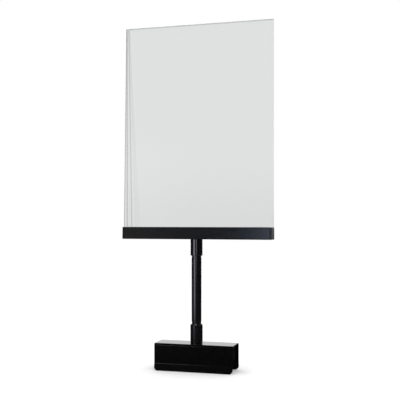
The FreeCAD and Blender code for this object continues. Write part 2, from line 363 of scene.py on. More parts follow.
# %% [markdown]
# ### Black coat on the saddle
# Powder coat is baked plastic dust. It flows into a semi-gloss skin with a soft ripple, the orange peel, and
# a finer grain in it. The black is very deep, so what is seen is mostly what it mirrors.

# %% Powder coat
coat_black = finish("coat_black", (0.0015, 0.0015, 0.0016), Roughness=0.15, Specular_IOR_Level=0.25)
tones(coat_black, grain(coat_black, 160), (0.001, 0.001, 0.0011), (0.002, 0.002, 0.0022))
roughness(coat_black, grain(coat_black, 420), 0.12, 0.18)
relief(coat_black, grain(coat_black, 620, detail=2), 0.012)
relief(coat_black, grain(coat_black, 2600, detail=2), 0.002)

# %% [markdown]
# ### Black paint on the stem, and the bar's finish
# The stem was sprayed after turning, so a trace of the turning runs round it as very fine rings. The bar is
# an extrusion: its marks run along its length, and it is a shade duller than the stem.

# %% Stem and bar
stem_paint = finish("stem_paint", (0.0025, 0.0025, 0.003), Roughness=0.14)
tones(stem_paint, grain(stem_paint, 120), (0.0016, 0.0016, 0.002), (0.0034, 0.0034, 0.004))
roughness(stem_paint, grain(stem_paint, 500, (1, 1, 2)), 0.11, 0.17)
relief(stem_paint, grain(stem_paint, 1500, (0.05, 0.05, 2.0), 2), 0.003)
relief(stem_paint, grain(stem_paint, 700, detail=2), 0.005)

bar_finish = finish("bar_finish", (0.003, 0.003, 0.004), Roughness=0.19)
tones(bar_finish, grain(bar_finish, 300, (0.2, 1, 1)), (0.0022, 0.0022, 0.003), (0.0042, 0.0042, 0.0054))
roughness(bar_finish, grain(bar_finish, 1100, (0.04, 1, 1)), 0.16, 0.22)
relief(bar_finish, grain(bar_finish, 2200, (0.02, 1, 1), 2), 0.003)
relief(bar_finish, grain(bar_finish, 1800, detail=2), 0.003)

# %% [markdown]
# ### Moulded plastics
# The caps at the bar's ends have the fine spark texture of their mould. The spacer is sawn from sheet, so its
# faces carry straight saw marks. The swivel's washer is raw nylon, which is milky.

# %% Plastics
cap_mould = finish("cap_mould", (0.006, 0.006, 0.007), Roughness=0.36)
tones(cap_mould, grain(cap_mould, 900), (0.004, 0.004, 0.005), (0.008, 0.008, 0.0095))
roughness(cap_mould, grain(cap_mould, 1500), 0.3, 0.42)
relief(cap_mould, grain(cap_mould, 5200, detail=2), 0.010)

spacer_sawn = finish("spacer_sawn", (0.018, 0.018, 0.019), Roughness=0.5)
tones(spacer_sawn, grain(spacer_sawn, 260, (0.3, 1, 1)), (0.012, 0.012, 0.013), (0.026, 0.026, 0.027))
roughness(spacer_sawn, grain(spacer_sawn, 900, (0.1, 1, 1)), 0.42, 0.6)
relief(spacer_sawn, grain(spacer_sawn, 3000, (1.0, 0.1, 0.1), 2), 0.012)

nylon_raw = finish("nylon_raw", (0.72, 0.69, 0.60), Roughness=0.45)
tones(nylon_raw, grain(nylon_raw, 450), (0.66, 0.63, 0.54), (0.78, 0.75, 0.67))
roughness(nylon_raw, grain(nylon_raw, 1200), 0.38, 0.55)
relief(nylon_raw, grain(nylon_raw, 2400), 0.008)

# %% [markdown]
# ### Metals of the hidden hardware
# Zinc plate is bright with a faint cool bloom. The plugs are bare turned steel, and their rings show
# stronger. The two small screws under the bar are blackened, so they keep a little of the metal's shine.

# %% Metals
zinc_plate = finish("zinc_plate", (0.60, 0.61, 0.62), Metallic=1.0, Roughness=0.3)
tones(zinc_plate, grain(zinc_plate, 700), (0.50, 0.51, 0.53), (0.68, 0.69, 0.69))
roughness(zinc_plate, grain(zinc_plate, 1600), 0.24, 0.4)
relief(zinc_plate, grain(zinc_plate, 3200, (1, 1, 1), 2), 0.006)

turned_steel = finish("turned_steel", (0.48, 0.47, 0.45), Metallic=1.0, Roughness=0.36)
tones(turned_steel, grain(turned_steel, 500), (0.40, 0.39, 0.37), (0.55, 0.54, 0.52))
roughness(turned_steel, grain(turned_steel, 900, (0.1, 0.1, 3)), 0.28, 0.46)
relief(turned_steel, grain(turned_steel, 2600, (0.05, 0.05, 2), 2), 0.012)

black_oxide = finish("black_oxide", (0.035, 0.036, 0.040), Metallic=0.85, Roughness=0.38)
tones(black_oxide, grain(black_oxide, 900), (0.026, 0.027, 0.030), (0.050, 0.051, 0.056))
roughness(black_oxide, grain(black_oxide, 1900), 0.3, 0.48)
relief(black_oxide, grain(black_oxide, 3600, detail=2), 0.005)

# %% [markdown]
# ### Foam rubber and felt
# The pads are cut from a closed-cell sheet: a cut face shows the small cells as pits. Felt is a mat of
# fibres that lie every way, so two stretched noises cross each other. Both are near black, and the felt has
# only a trace of sheen.

# %% Soft linings
foam_rubber = finish("foam_rubber", (0.009, 0.009, 0.0095), Roughness=0.9, Specular_IOR_Level=0.2)
tones(foam_rubber, grain(foam_rubber, 900), (0.005, 0.005, 0.0055), (0.015, 0.015, 0.016))
roughness(foam_rubber, grain(foam_rubber, 1500), 0.82, 0.97)
relief(foam_rubber, grain(foam_rubber, 1700, kind="Voronoi"), 0.22)
relief(foam_rubber, grain(foam_rubber, 260), 0.10)

felt_black = finish("felt_black", (0.006, 0.006, 0.0065), Roughness=0.95, Specular_IOR_Level=0.1,
                    Sheen_Weight=0.02)
tones(felt_black, grain(felt_black, 1300, (0.25, 1, 1)), (0.003, 0.003, 0.0033), (0.011, 0.011, 0.012))
roughness(felt_black, grain(felt_black, 800), 0.88, 1.0)
relief(felt_black, grain(felt_black, 2400, (0.15, 1, 1), 4), 0.10)
relief(felt_black, grain(felt_black, 2400, (1, 1, 0.15), 4), 0.10)

# %% [markdown]
# ### Clear acrylic
# Acrylic bends light a little less than glass. A sheet of it is polished by its makers, so the faces need
# only a trace of roughness and a slow waviness. The faint grey tint adds up through the two walls. Cut
# edges are sawn, so they are frosted and let less light through. Along the fold the sheet is tinted darker:
# that is painted shade, for the dark line the curved fold shows by bending light.

# %% Acrylic
ACRYLIC_BEND = 1.49
acrylic = finish("acrylic", (0.975, 0.982, 0.978), Transmission_Weight=1.0, IOR=ACRYLIC_BEND, Roughness=0.01)
roughness(acrylic, grain(acrylic, 60), 0.004, 0.016)
relief(acrylic, grain(acrylic, 14, detail=1), 0.02, 0.5)

acrylic_edge = finish("acrylic_edge", (0.72, 0.76, 0.75), Transmission_Weight=0.4, IOR=ACRYLIC_BEND,
                      Roughness=0.3)
tones(acrylic_edge, grain(acrylic_edge, 900, (0.3, 1, 0.3)), (0.66, 0.70, 0.69), (0.78, 0.82, 0.81))
roughness(acrylic_edge, grain(acrylic_edge, 1400, (0.3, 1, 0.3)), 0.22, 0.40)
relief(acrylic_edge, grain(acrylic_edge, 2600, (0.3, 1, 0.1), 2), 0.002)

# The fold's darker tint is painted shade, for the dark line the curved fold shows by bending light.
acrylic_fold_shade = finish("acrylic_fold_shade", (0.60, 0.64, 0.63), Transmission_Weight=1.0, IOR=ACRYLIC_BEND,
                      Roughness=0.05)
roughness(acrylic_fold_shade, grain(acrylic_fold_shade, 300, (0.1, 1, 1)), 0.03, 0.08)
relief(acrylic_fold_shade, grain(acrylic_fold_shade, 220, (0.08, 1, 1), 1), 0.01, 0.5)

# %% [markdown]
# ## The saddle
# The saddle is one strip of 1.5 mm steel, folded to an upside-down U with its lips turned out so that it
# slides over the rail. A bent sheet is best drawn as rows of points along its section: an outer and an inner
# point for each row. The rows near a lip get shorter, which rounds the lip's corners.

# %% Saddle sizes and section
saddle_low, saddle_high = span("saddle")
SHEET = 1.5
LIP_HEIGHT = 9.9
LIP_FLARE = 2.3
LIP_CORNER = 5.5
BEND = 2.7
CREASE = 3.0
saddle_half = saddle_high.x
saddle_top = saddle_high.z
leg_face = saddle_high.y - LIP_FLARE


def saddle_section(face, top, lip_reach, crease_height, bend, crease):
    corners = [(lip_reach, 0.0), (face, crease_height), (face, top),
               (-face, top), (-face, crease_height), (-lip_reach, 0.0)]
    return rounded(corners, [0, crease, bend, bend, crease, 0], 8, closed=False)


slope = math.atan2(LIP_FLARE, LIP_HEIGHT)
outer_line = saddle_section(leg_face, saddle_top, leg_face + LIP_FLARE, LIP_HEIGHT, BEND, CREASE)
inner_line = saddle_section(leg_face - SHEET, saddle_top - SHEET,
                            leg_face + LIP_FLARE - SHEET / math.cos(slope),
                            LIP_HEIGHT + SHEET * math.tan(slope / 2), BEND - SHEET, CREASE + SHEET)
print("saddle section points:", len(outer_line), "gap for the rail:", 2 * (leg_face - SHEET))


# %% Saddle sheet
CORNER_STEPS = 8


def with_corner_rows(line):
    """Adds rows on both lips, close together where the corner curves most."""
    rows = []
    for end, following in ((line[0], line[1]), (line[-1], line[-2])):
        reach = (Vector(following) - Vector(end)).length
        extra = []
        for k in range(1, CORNER_STEPS + 1):
            depth = LIP_CORNER * (1 - math.cos(math.pi / 2 * k / CORNER_STEPS))
            extra.append(tuple(Vector(end).lerp(Vector(following), depth / reach)))
        rows.append([end] + extra)
    return rows[0] + line[1:-1] + rows[1][::-1]


def half_length(row, count):
    k = min(row, count - 1 - row)
    if k >= CORNER_STEPS:
        return saddle_half
    return saddle_half - LIP_CORNER * (1 - math.sin(math.pi / 2 * k / CORNER_STEPS))


def saddle_grid(line):
    rows = with_corner_rows(line)
    columns = (-1.0, -0.5, 0.0, 0.5, 1.0)
    return [[(half_length(i, len(rows)) * c, y, z) for c in columns] for i, (y, z) in enumerate(rows)]


BOLT_HOLE = 3.25
saddle_sheet = folded_sheet("saddle_sheet", saddle_grid(outer_line), saddle_grid(inner_line))
work(saddle_sheet, [drill(BOLT_HOLE, saddle_top - 3, saddle_top + 1)])
ease(saddle_sheet, 0.28)
fit(saddle_sheet, "stand", "saddle", "powder_coat", coat_black)

# %% [markdown]
# ## Linings of the saddle
# A foam pad rests on the rail's top, and a felt strip keeps each leg from scratching it. A die-cut strip
# of foam bulges a little between its cut edges, so the pad is lofted with a crown on its underside.

# %% Strips with rounded ends
def end_rows(start, end, radius, steps=5):
    """Places along X and how far the outline shrinks there, for ends rounded by a radius."""
    turns = [math.pi / 2 * k / steps for k in range(steps + 1)]
    first = [(start + radius * (1 - math.cos(t)), radius * (1 - math.sin(t))) for t in turns]
    last = [(end - radius * (1 - math.cos(t)), radius * (1 - math.sin(t))) for t in reversed(turns)]
    return first + last


def strip(name, low, high, edge, crown=0.0, rows=1):
    """A bar along X with rounded edges. A crown makes its underside bulge down."""
    rings = []
    stations = end_rows(low[0], high[0], edge)
    middle = len(stations) // 2
    extra = [(low[0] + edge + (high[0] - low[0] - 2 * edge) * k / rows, 0.0) for k in range(1, rows)]
    for x, inset in stations[:middle] + extra + stations[middle:]:
        corners = rectangle((low[1] + inset, low[2] + inset), (high[1] - inset, high[2] - inset),
                            max(edge - inset, 0.05))
        ring = []
        for y, z in corners:
            along = max(0.0, 1 - abs(x / high[0]) ** 8)
            across = max(0.0, 1 - abs((2 * y - low[1] - high[1]) / (high[1] - low[1])) ** 4)
            drop = crown * along * across if z < (low[2] + high[2]) / 2 else 0.0
            ring.append((x, y, z - drop))
        rings.append(ring)
    return loft(name, rings)


# %% Foam pad and felt strips
PAD_CROWN = 0.35
PAD_EDGE = 0.7
FELT_EDGE = 0.18
HEAD_ROOM = 7.0
low, high = span("seat_pad")
rail_pad = strip("rail_pad", (low.x, low.y, low.z + PAD_CROWN), high, PAD_EDGE, PAD_CROWN, 24)
work(rail_pad, [drill(HEAD_ROOM, low.z - 1, high.z + 1)])
ease(rail_pad, 0.25)
fit(rail_pad, "stand", "seat_pad", "pad_rubber", foam_rubber)

for name, node in (("felt_front", "liner_front"), ("felt_back", "liner_back")):
    low, high = span(node)
    felt = strip(name, low, high, FELT_EDGE)
    ease(felt)
    fit(felt, "stand", node, "felt", felt_black)

# %% [markdown]
# ## Screws and washers
# Two M6 screws hold the stem, one at each end, and two M4 screws hold the spacer in the bar. The shank of
# a screw is a turned shape whose radius also depends on the angle: as the angle goes once round, the tooth
# climbs by one pitch, and that makes a true helical thread.

# %% A threaded shank
def thread(shank, pitch, depth, from_z, to_z):
    """Radius on a threaded shank. The thread fades in and out at both ends."""
    def radius_at(radius, height, angle):
        if abs(radius - shank) > 1e-6 or not from_z < height < to_z:
            return radius
        phase = (height / pitch - angle / (2 * math.pi)) % 1.0
        tooth = 1 - abs(2 * phase - 1)
        fade = min(1.0, (height - from_z) / pitch, (to_z - height) / pitch)
        return radius - depth * fade * (1 - min(1.0, 1.25 * tooth))
    return radius_at


def shank_rows(shank, start, end, pitch):
    count = int(abs(end - start) / pitch * 7)
    return [(shank, start + (end - start) * k / count) for k in range(count + 1)]


# %% The two M6 screws
M6_SHANK = 3.0
M6_HEAD = 5.25
M6_PITCH = 1.0
M6_CUT = 0.45
M6_KEY = 4.0
TIP = 0.6


def m6_screw(name, seat, way, crown, end):
    """A low round head that bears on the level seat, and a shank that goes the given way."""
    head = rounded([(0, crown), (M6_HEAD, crown), (M6_HEAD, seat), (M6_SHANK, seat)], [0, 1.9, 0.15, 0], 10,
                   closed=False)
    run = end - way * TIP
    profile = head + shank_rows(M6_SHANK, seat + way * 0.5, run, M6_PITCH)
    profile += [(M6_SHANK - TIP, end), (0, end)]
    radius_at = thread(M6_SHANK, M6_PITCH, M6_CUT, min(seat + way * 1.5, run), max(seat + way * 1.5, run))
    screw = lathe(name, profile, 72, radius_at=radius_at)
    socket = sorted((crown - way * 1.0, crown + way * 2.0))
    work(screw, [hex_key(M6_KEY, *socket)])
    ease(screw, 0.08, 2)
    return screw


low, high = span("saddle_screw")
seat_level = span("saddle_washer")[0].z
foot_screw = m6_screw("foot_screw", seat_level, 1, low.z, high.z)
fit(foot_screw, "stand", "saddle_screw", "screw_steel", zinc_plate)

low, high = span("head_screw")
seat_level = span("head_washer")[1].z
swivel_screw = m6_screw("swivel_screw", seat_level, -1, high.z, low.z)
fit(swivel_screw, "stand", "head_screw", "screw_steel", zinc_plate)


# %% Washers and plugs
def tube_ring(name, node, bore, edge):
    """A flat or long ring that fills a CAD part's height and width."""
    low, high = span(node)
    profile = rounded([(bore, low.z), (high.x, low.z), (high.x, high.z), (bore, high.z)], [edge] * 4, 4)
    ring = lathe(name, profile, 96)
    ease(ring)
    return ring


WASHER_BORE = 3.25
PLUG_BORE = 3.05
fit(tube_ring("foot_washer", "saddle_washer", WASHER_BORE, 0.12), "stand", "saddle_washer", "screw_steel",
    zinc_plate)
fit(tube_ring("top_washer", "head_washer", WASHER_BORE, 0.12), "stand", "head_washer", "screw_steel",
    zinc_plate)
fit(tube_ring("foot_plug", "lower_plug", PLUG_BORE, 0.4), "stand", "lower_plug", "plug_steel", turned_steel)
fit(tube_ring("top_plug", "upper_plug", PLUG_BORE, 0.4), "stand", "upper_plug", "plug_steel", turned_steel)
fit(tube_ring("swivel_disc", "swivel_washer", WASHER_BORE, 0.15), "stand", "swivel_washer", "nylon",
    nylon_raw)

# %% [markdown]
# ## The stem
# A tube with turned-down ends stands in a collar at the foot and carries a collar at the top. All three are
# turned parts, so one closed profile of radius and height makes each, bore included. The small grooves where
# the tube's neck shows between the shoulder and the collar are what make the joints readable.

# %% Foot collar
low, high = span("lower_collar")
BORE = 6.65
FLOOR = 8.0
RIM_BEVEL = 1.4
corners = [(BOLT_HOLE, low.z), (high.x, low.z), (high.x, high.z - RIM_BEVEL), (high.x - RIM_BEVEL, high.z),
           (BORE, high.z), (BORE, low.z + FLOOR), (BOLT_HOLE, low.z + FLOOR)]
foot_collar = lathe("foot_collar", rounded(corners, [0.1, 0.25, 0.3, 0.25, 0.15, 0.3, 0.1], 5), 128)
ease(foot_collar)
fit(foot_collar, "stand", "lower_collar", "stem_black", stem_paint)

# %% Tube
low, high = span("stem_tube")
NECK = 6.6
TUBE_BORE = 5.4
NECK_SHOWS = 3.0
shoulder_low = span("lower_collar")[1].z + NECK_SHOWS
shoulder_high = span("upper_collar")[0].z - NECK_SHOWS
corners = [(TUBE_BORE, low.z), (NECK, low.z), (NECK, shoulder_low), (high.x, shoulder_low),
           (high.x, shoulder_high), (NECK, shoulder_high), (NECK, high.z), (TUBE_BORE, high.z)]
tube = lathe("tube", rounded(corners, [0.2, 0.3, 0.12, 0.28, 0.28, 0.12, 0.3, 0.2], 5), 128)
ease(tube)
fit(tube, "stand", "stem_tube", "stem_black", stem_paint)

# %% Top collar
low, high = span("upper_collar")
bore_top = high.z - FLOOR
corners = [(BOLT_HOLE, high.z), (high.x, high.z), (high.x, low.z), (BORE, low.z), (BORE, bore_top),
           (BOLT_HOLE, bore_top)]
head_collar = lathe("head_collar", rounded(corners, [0.1, 0.25, 0.4, 0.2, 0.3, 0.1], 5), 128)
ease(head_collar)
fit(head_collar, "head", "upper_collar", "stem_black", stem_paint)

# %% [markdown]
# ## The channel bar
# The bar is a U of aluminium, a little wider at its foot. Its section is one outline lofted along X. Then it
# is drilled like the real one: a hole for the swivel's screw, and two countersunk holes from below.

# %% Bar section
bar_low, bar_high = span("bar_channel")
LEAN = 0.6
BAR_FLOOR = 2.4
FRONT_FACE = -6.9
BACK_FACE = 11.0
FOOT_ROUND = 0.9
RIM_ROUND = 0.4
bar_middle = (bar_low.y + bar_high.y) / 2
bar_floor = bar_low.z + BAR_FLOOR
foot_half = (bar_high.y - bar_low.y) / 2
rim_half = foot_half - LEAN


def bar_outline(inset):
    """The bar's outer section, shrunk by an inset."""
    foot = foot_half - inset
    rim = foot - LEAN
    bottom, top = bar_low.z + inset, bar_high.z - inset
    corners = [(bar_middle - foot, bottom), (bar_middle + foot, bottom),
               (bar_middle + rim, top), (bar_middle - rim, top)]
    radii = [max(r - inset, 0.05) for r in (FOOT_ROUND, FOOT_ROUND, RIM_ROUND, RIM_ROUND)]
    return rounded(corners, radii, 6)


corners = [(bar_middle - foot_half, bar_low.z), (bar_middle + foot_half, bar_low.z),
           (bar_middle + rim_half, bar_high.z),
           (BACK_FACE, bar_high.z), (BACK_FACE, bar_floor), (FRONT_FACE, bar_floor),
           (FRONT_FACE, bar_high.z), (bar_middle - rim_half, bar_high.z)]
channel_section = rounded(corners, [FOOT_ROUND, FOOT_ROUND, RIM_ROUND, 0.25, 0.4, 0.4, 0.25, RIM_ROUND], 6)

# %% Bar with its holes
M4_HOLE = 2.2
M4_HEAD = 3.9
M4_HEAD_HEIGHT = 1.9
GAP = 0.2
screw_low, screw_high = span("spacer_screws")
screw_x = screw_high.x - M4_HEAD
screw_y = (screw_low.y + screw_high.y) / 2
sign_bar = loft("sign_bar", [along_x(channel_section, bar_low.x), along_x(channel_section, bar_high.x)])
tools = [drill(BOLT_HOLE, bar_low.z - 1, bar_floor + 1)]
for x in (-screw_x, screw_x):
    sink = GAP + M4_HEAD_HEIGHT
    widening = (M4_HEAD + GAP - M4_HOLE) / sink
    tools.append(drill(M4_HOLE, bar_low.z - 1, bar_floor + 1, x, screw_y))
    tools.append(drill(M4_HEAD + GAP + widening, bar_low.z - 1, bar_low.z + sink, x, screw_y, M4_HOLE))
work(sign_bar, tools)
ease(sign_bar, 0.3, 3)
fit(sign_bar, "head", "bar_channel", "bar_black", bar_finish)

# %% [markdown]
# ## End caps
# A moulded plate closes each end of the bar, with a plug that grips inside the channel. The plate's outer rim
# is rounded, so its outline shrinks over the last rows of the loft.

# %% Caps
CAP_ROUND = 0.8
SEAM = 0.35
PLUG_REACH = 6.0
PLUG_HEIGHT = 4.2
PLUG_TAPER = 0.3
PLUG_ROUND = 0.5


def end_cap(name, node, side):
    low, high = span(node)
    face = bar_high.x * side
    outer = high.x if side > 0 else low.x
    rows = []
    for k in range(5):
        turn = math.pi / 2 * k / 4
        rows.append((face + side * SEAM * (1 - math.cos(turn)), SEAM * (1 - math.sin(turn))))
    for k in range(7):
        turn = math.pi / 2 * k / 6
        rows.append((outer - side * CAP_ROUND * (1 - math.sin(turn)), CAP_ROUND * (1 - math.cos(turn))))
    plate = loft(name, [along_x(bar_outline(inset), x) for x, inset in rows])
    plug_low = (FRONT_FACE + GAP, bar_floor + GAP)
    plug_high = (BACK_FACE - GAP, bar_floor + GAP + PLUG_HEIGHT)
    tip = rectangle((plug_low[0] + PLUG_TAPER, plug_low[1] + PLUG_TAPER),
                    (plug_high[0] - PLUG_TAPER, plug_high[1] - PLUG_TAPER), PLUG_ROUND)
    root = rectangle(plug_low, plug_high, PLUG_ROUND)
    reach = face - side * PLUG_REACH
    plug = loft("tool", [along_x(tip, reach), along_x(root, reach + side * 0.8),
                         along_x(root, face + side * 0.5)])
    work(plate, [plug], "UNION")
    ease(plate)
    return plate


cap_left = end_cap("cap_left", "end_cap_left", -1)
cap_right = end_cap("cap_right", "end_cap_right", 1)
fit(cap_left, "head", "end_cap_left", "cap_plastic", cap_mould)
fit(cap_right, "head", "end_cap_right", "cap_plastic", cap_mould)

# %% [markdown]
# ## What holds the sleeve in the bar
# A spacer stands between the sleeve's two legs, screwed down from below, and a foam strip presses the front
# leg against it. Both end just under the bar's rim, so from above they are seen through the clear sheet.

# %% Spacer, grip and their screws
M4_SHANK = 2.0
M4_PITCH = 0.7
M4_CUT = 0.32
M4_KEY = 2.5
M4_SLACK = 0.05
INSERT_EDGE = 0.35
WASHER_HEIGHT = 1.0
M6_HEAD_HEIGHT = 3.3
SLACK_ABOVE = 0.5
low, high = span("slot_spacer")
spacer = strip("spacer", low, high, INSERT_EDGE)
head_room_top = bar_floor + WASHER_HEIGHT + M6_HEAD_HEIGHT + SLACK_ABOVE
tools = [drill(HEAD_ROOM, low.z - 1, head_room_top)]
for x in (-screw_x, screw_x):
    tools.append(drill(M4_SHANK + M4_SLACK, low.z - 1, screw_high.z + 1, x, screw_y))
work(spacer, tools)
ease(spacer)
fit(spacer, "head", "slot_spacer", "spacer_plastic", spacer_sawn)

low, high = span("front_grip")
grip_strip = strip("grip_strip", low, high, INSERT_EDGE)
ease(grip_strip)
fit(grip_strip, "head", "front_grip", "pad_rubber", foam_rubber)


def m4_screw(name, x):
    """A countersunk screw, its flat head level with the bar's underside."""
    head = rounded([(0, screw_low.z), (M4_HEAD, screw_low.z), (M4_SHANK, screw_low.z + M4_HEAD_HEIGHT)],
                   [0, 0.12, 0], 3, closed=False)
    start, end = screw_low.z + M4_HEAD_HEIGHT + 0.3, screw_high.z - 0.5
    profile = head + shank_rows(M4_SHANK, start, end, M4_PITCH) + [(M4_SHANK - 0.5, screw_high.z),
                                                                 (0, screw_high.z)]
    screw = lathe(name, profile, 56, (x, screw_y), thread(M4_SHANK, M4_PITCH, M4_CUT, start, end))
    work(screw, [hex_key(M4_KEY, screw_low.z - 1, screw_low.z + 1.2, x, screw_y)])
    return screw


screws = m4_screw("bar_screws", -screw_x)
work(screws, [m4_screw("tool", screw_x)], "UNION")
ease(screws, 0.06, 2)
fit(screws, "head", "spacer_screws", "screw_black", black_oxide)

# %% [markdown]
# ## The clear sleeve
# One sheet is heated along a line and folded over a thin bar: that gives the hairpin at the top, an upright
# back leg and a front leg that leans back to meet it. The sheet is narrower inside the bar, where its tongue
# stands between the end caps' plugs. Like the saddle it is made as rows of an outer and an inner point.

# %% Rows of the sleeve
sleeve_low, sleeve_high = span("clear_sleeve")
WALL = 1.8
FOLD = 2.0
TONGUE = 102.5
FRONT_LEG_AT_RIM = -2.7
rim_level = bar_high.z
foot_level = sleeve_low.z
back_face = sleeve_high.y
fold_y, fold_z = back_face - FOLD, sleeve_high.z - FOLD
across, up = fold_y - FRONT_LEG_AT_RIM, fold_z - rim_level
lean = math.atan2(across, up) - math.asin(FOLD / math.hypot(across, up))
print("front leg leans back by", round(math.degrees(lean), 2), "degrees")


def sleeve_line(radius):
    """(y, z) points of one face of the sheet, from the back leg's foot over the fold and down."""
    face = fold_y + radius
    levels = [foot_level, rim_level, rim_level + 1, fold_z - 1.5]
    line = [(face, level) for level in levels]
    steps = 20
    for k in range(steps + 1):
        turn = (math.pi - lean) * k / steps
        line.append((fold_y + radius * math.cos(turn), fold_z + radius * math.sin(turn)))
    start_y, start_z = line[-1]
    for level in reversed(levels):
        line.append((start_y - (start_z - level) * math.tan(lean), level))
    return line


def sleeve_grid(radius):
    columns = (-sleeve_high.x, -TONGUE, TONGUE, sleeve_high.x)
    return [[(x, y, z) for x in columns] for y, z in sleeve_line(radius)]


# %% Sleeve sheet
outer, inner = sleeve_grid(FOLD), sleeve_grid(FOLD - WALL)
last = len(outer) - 2


def in_sheet(row, column):
    return column == 1 or 0 < row < last


sleeve = folded_sheet("sleeve", outer, inner, in_sheet)
# Faces high on the fold get the darker fold finish, which is painted shade.
FOLD_SHADE_FROM = 0.35
for face in sleeve.data.polygons:
    on_side = abs(face.normal.x) > 0.9
    on_foot = face.normal.z < -0.9 and face.center.z < rim_level * MM
    on_fold = face.center.z > (fold_z + FOLD_SHADE_FROM * FOLD) * MM
    face.material_index = 2 if on_fold else 1 if on_side or on_foot else 0
ease(sleeve, 0.14, 2)
fit(sleeve, "sleeve", "clear_sleeve", "clear_acrylic", acrylic, acrylic_edge, acrylic_fold_shade)
sleeve.visible_shadow = False

# %% [markdown]
# Where two clear legs stand close together, their cut edges are mirrored again and again between them. The
# eye sees faint grey lines that start at the fold's corner and fan out downwards. These small mirrorings
# don't show by themselves here, so the lines are tinted into the back leg: each is a band round a slanting
# line, worked out from object coordinates. They stay where they are when the view changes, which mirrored
# lines wouldn't.

# %% Fan of lines beside the left edge
FAN = (  # start beside the edge (mm), drift per mm down, half width (mm), how much light it takes
    (3.0, 0.0165, 1.5, 0.3),
    (3.7, 0.037, 2.6, 0.06),
    (3.7, 0.052, 2.6, 0.045),
)
# A straight dark line beside the left edge of both legs is painted shade, for the dark line the cut edge
# shows.
EDGE_SHADE_LINE = (0.4, 0.0, 1.6, 0.3)


def sheet_node(kind, *values, **settings):
    """A node in the acrylic's tree. Values are numbers or sockets for its inputs, in order."""
    return tree_node(acrylic.node_tree, kind, values, settings)


here = acrylic.node_tree.nodes.new("ShaderNodeSeparateXYZ")
link(acrylic, acrylic.node_tree.nodes.new("ShaderNodeTexCoord").outputs["Object"], here.inputs[0])
from_edge = sheet_node("Math", here.outputs["X"], sleeve_high.x * MM, operation="ADD")
from_top = sheet_node("Math", sleeve_high.z * MM, here.outputs["Z"], operation="SUBTRACT")


def line_light(start, drift, half_width, taken):
    """The share of light that a slanting line lets through."""
    line_at = sheet_node("Math", from_top, drift, start * MM, operation="MULTIPLY_ADD")
    beside = sheet_node("Math", from_edge, line_at, operation="SUBTRACT")
    off_line = sheet_node("Math", beside, operation="ABSOLUTE")
    return sheet_node("MapRange", off_line, 0.0, half_width * MM, 1 - taken, 1.0,
                      interpolation_type="SMOOTHSTEP")


fan_light = 1.0
for line in FAN:
    fan_light = sheet_node("Math", fan_light, line_light(*line), operation="MULTIPLY")
on_back_leg = sheet_node("Math", here.outputs["Y"], (back_face - WALL - 0.1) * MM, operation="GREATER_THAN")
fan_taken = sheet_node("Math", sheet_node("Math", 1.0, fan_light, operation="SUBTRACT"), on_back_leg,
                       operation="MULTIPLY")
kept_light = sheet_node("Math", sheet_node("Math", 1.0, fan_taken, operation="SUBTRACT"),
                        line_light(*EDGE_SHADE_LINE), operation="MULTIPLY")
tint = acrylic.node_tree.nodes.new("ShaderNodeMix")
tint.data_type = "RGBA"
tint.blend_type = "MULTIPLY"
tint.inputs["Factor"].default_value = 1.0
tint.inputs["A"].default_value = shader_of(acrylic).inputs["Base Color"].default_value
link(acrylic, kept_light, tint.inputs["B"])
link(acrylic, tint.outputs["Result"], shader_of(acrylic).inputs["Base Color"])
print("lines beside the edge:", len(FAN))

# %% [markdown]
# ## Floor
# The stand is shown on a plain white floor. It is a disc that fades out at its rim, so there is no line where
# it meets the white behind. Black gloss would mirror a white floor as a grey veil, so reflections leave the
# floor out, as a photographer does with black card round a black product.

# %% A white floor with a soft rim
FLOOR_RADIUS = 2.4
floor_rings = [(FLOOR_RADIUS * k / 12 / MM, 0.0) for k in range(1, 13)]
steps = 64
points = [(0.0, 0.0, 0.0)]
faces = []
for i, (radius, level) in enumerate(floor_rings):
    for k in range(steps):
        angle = 2 * math.pi * k / steps
        points.append((radius * math.cos(angle), radius * math.sin(angle), level))
        a, b = 1 + i * steps + k, 1 + i * steps + (k + 1) % steps
        faces.append([0, a, b] if i == 0 else [a - steps, a, b, b - steps])
floor = new_piece("floor", points, faces)
floor_paint = finish("floor_paint", (0.9, 0.9, 0.9), Roughness=0.9, Specular_IOR_Level=0.1)
tones(floor_paint, grain(floor_paint, 3), (0.89, 0.89, 0.89), (0.92, 0.92, 0.92))
nodes = floor_paint.node_tree.nodes
place = nodes.new("ShaderNodeTexCoord")
size = nodes.new("ShaderNodeVectorMath")
size.operation = "LENGTH"
link(floor_paint, place.outputs["Object"], size.inputs[0])
link(floor_paint, between(floor_paint, size.outputs["Value"], 1.0, 0.0, 0.7, FLOOR_RADIUS * 0.95),
     shader_of(floor_paint).inputs["Alpha"])
floor.data.materials.append(floor_paint)
floor.visible_glossy = False
floor.visible_shadow = False

# %% [markdown]
# ## Light
# The studio is painted on the world by direction: azimuth runs from the front (-Y) towards +X, elevation
# from level. Each kind of ray sees its own studio. The camera sees plain white. A mirrored ray sees a dark
# room with a bright back wall, a window, a pale table and a pale ring. A ray that has passed through the
# clear sheet sees grey-white, and a diffuse ray sees soft white above the horizon.

# %% World
world = bpy.data.worlds.new("studio")
bpy.context.scene.world = world
world.use_nodes = True
sky = world.node_tree
sky.nodes.clear()


def sky_node(kind, *values, **settings):
    return tree_node(sky, kind, values, settings)


def calc(operation, *values, **settings):
    return sky_node("Math", *values, operation=operation, **settings)


def ease_between(value, start, end, low, high):
    """Runs smoothly from low to high while the value goes from start to end."""
    return sky_node("MapRange", value, start, end, low, high, interpolation_type="SMOOTHSTEP")


direction = sky.nodes.new("ShaderNodeTexCoord").outputs["Generated"]
parts = sky.nodes.new("ShaderNodeSeparateXYZ")
sky.links.new(direction, parts.inputs[0])
DEGREES = 180 / math.pi
azimuth = calc("MULTIPLY", calc("ARCTAN2", parts.outputs["X"], calc("MULTIPLY", parts.outputs["Y"], -1.0)),
               DEGREES)
elevation = calc("MULTIPLY", calc("ARCSINE", parts.outputs["Z"]), DEGREES)
off_front = calc("ABSOLUTE", azimuth)

